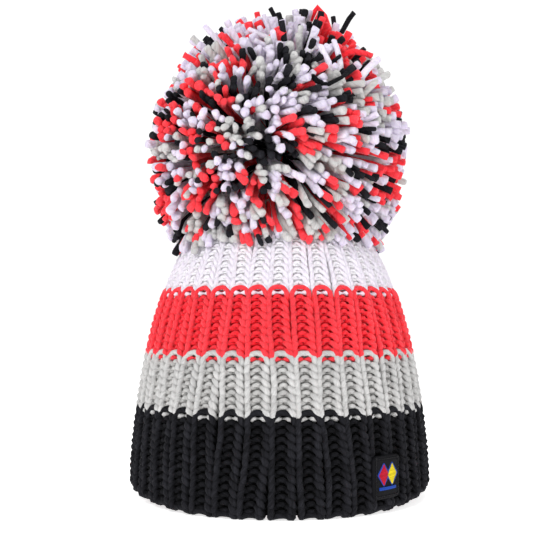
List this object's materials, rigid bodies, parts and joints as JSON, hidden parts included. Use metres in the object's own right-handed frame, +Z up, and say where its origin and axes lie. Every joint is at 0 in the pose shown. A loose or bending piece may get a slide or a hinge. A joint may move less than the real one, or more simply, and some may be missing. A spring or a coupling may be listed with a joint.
{
  "type": "pom pom beanie",
  "caption": "Ribbed knit hat with bands of black, grey, coral and white yarn, a fleece ear lining and a large shaggy pom pom tied on the crown.",
  "frame": {"origin": "centre of the brim's underside, where the hat stands on a table", "axes": "+Z up through the crown and the pom pom, -Y towards the wearer's front, +X towards the wearer's left"},
  "size_m": [0.1952, 0.1952, 0.311],
  "materials": {
    "white_yarn": "soft acrylic yarn",
    "grey_yarn": "soft acrylic yarn",
    "coral_yarn": "soft acrylic yarn",
    "black_yarn": "soft acrylic yarn",
    "seam_yarn": "soft acrylic yarn",
    "fleece": "brushed fleece",
    "black_thread": "sewing thread",
    "label_cloth": "woven damask",
    "red_thread": "satin stitch",
    "yellow_thread": "satin stitch",
    "blue_thread": "satin stitch",
    "care_label_satin": "satin ribbon",
    "tie_cord": "twisted cord"
  },
  "bodies": {
    "hat": {"brim_knit": "black_yarn", "grey_band_knit": "grey_yarn", "coral_band_knit": "coral_yarn", "white_crown_knit": "white_yarn", "crown_gather_yarn": "white_yarn", "back_seam": "seam_yarn", "hem_stitching": "black_yarn", "fleece_lining": "fleece", "lining_stitching": "black_thread", "woven_label": "label_cloth", "label_stitching": "black_thread", "label_motif_red": "red_thread", "label_motif_yellow": "yellow_thread", "label_motif_blue": "blue_thread", "anchor_knot": "tie_cord"},
    "neck": {"attachment_cord": "tie_cord"},
    "pompom": {"binding_cord": "tie_cord", "binding_knot": "tie_cord", "pompom_white_yarn": "white_yarn", "pompom_black_yarn": "black_yarn", "pompom_coral_yarn": "coral_yarn", "pompom_grey_yarn": "grey_yarn"},
    "care_tag": {"care_label": "care_label_satin"}
  },
  "joints": [
    {"name": "pompom_sway", "type": "hinge", "parent": "hat", "child": "neck", "pos_m": [0, 0, 0.195], "axis": [0, 1, 0], "range_deg": [-10, 10], "stiffness_Nm_per_rad": 0.5},
    {"name": "pompom_nod", "type": "hinge", "parent": "neck", "child": "pompom", "pos_m": [0, 0, 0.195], "axis": [1, 0, 0], "range_deg": [-10, 10], "stiffness_Nm_per_rad": 0.5},
    {"name": "care_label_flap", "type": "hinge", "parent": "hat", "child": "care_tag", "pos_m": [0, 0.07913, 0.1], "axis": [-1, 0, 0], "range_deg": [-5, 80]}
  ]
}
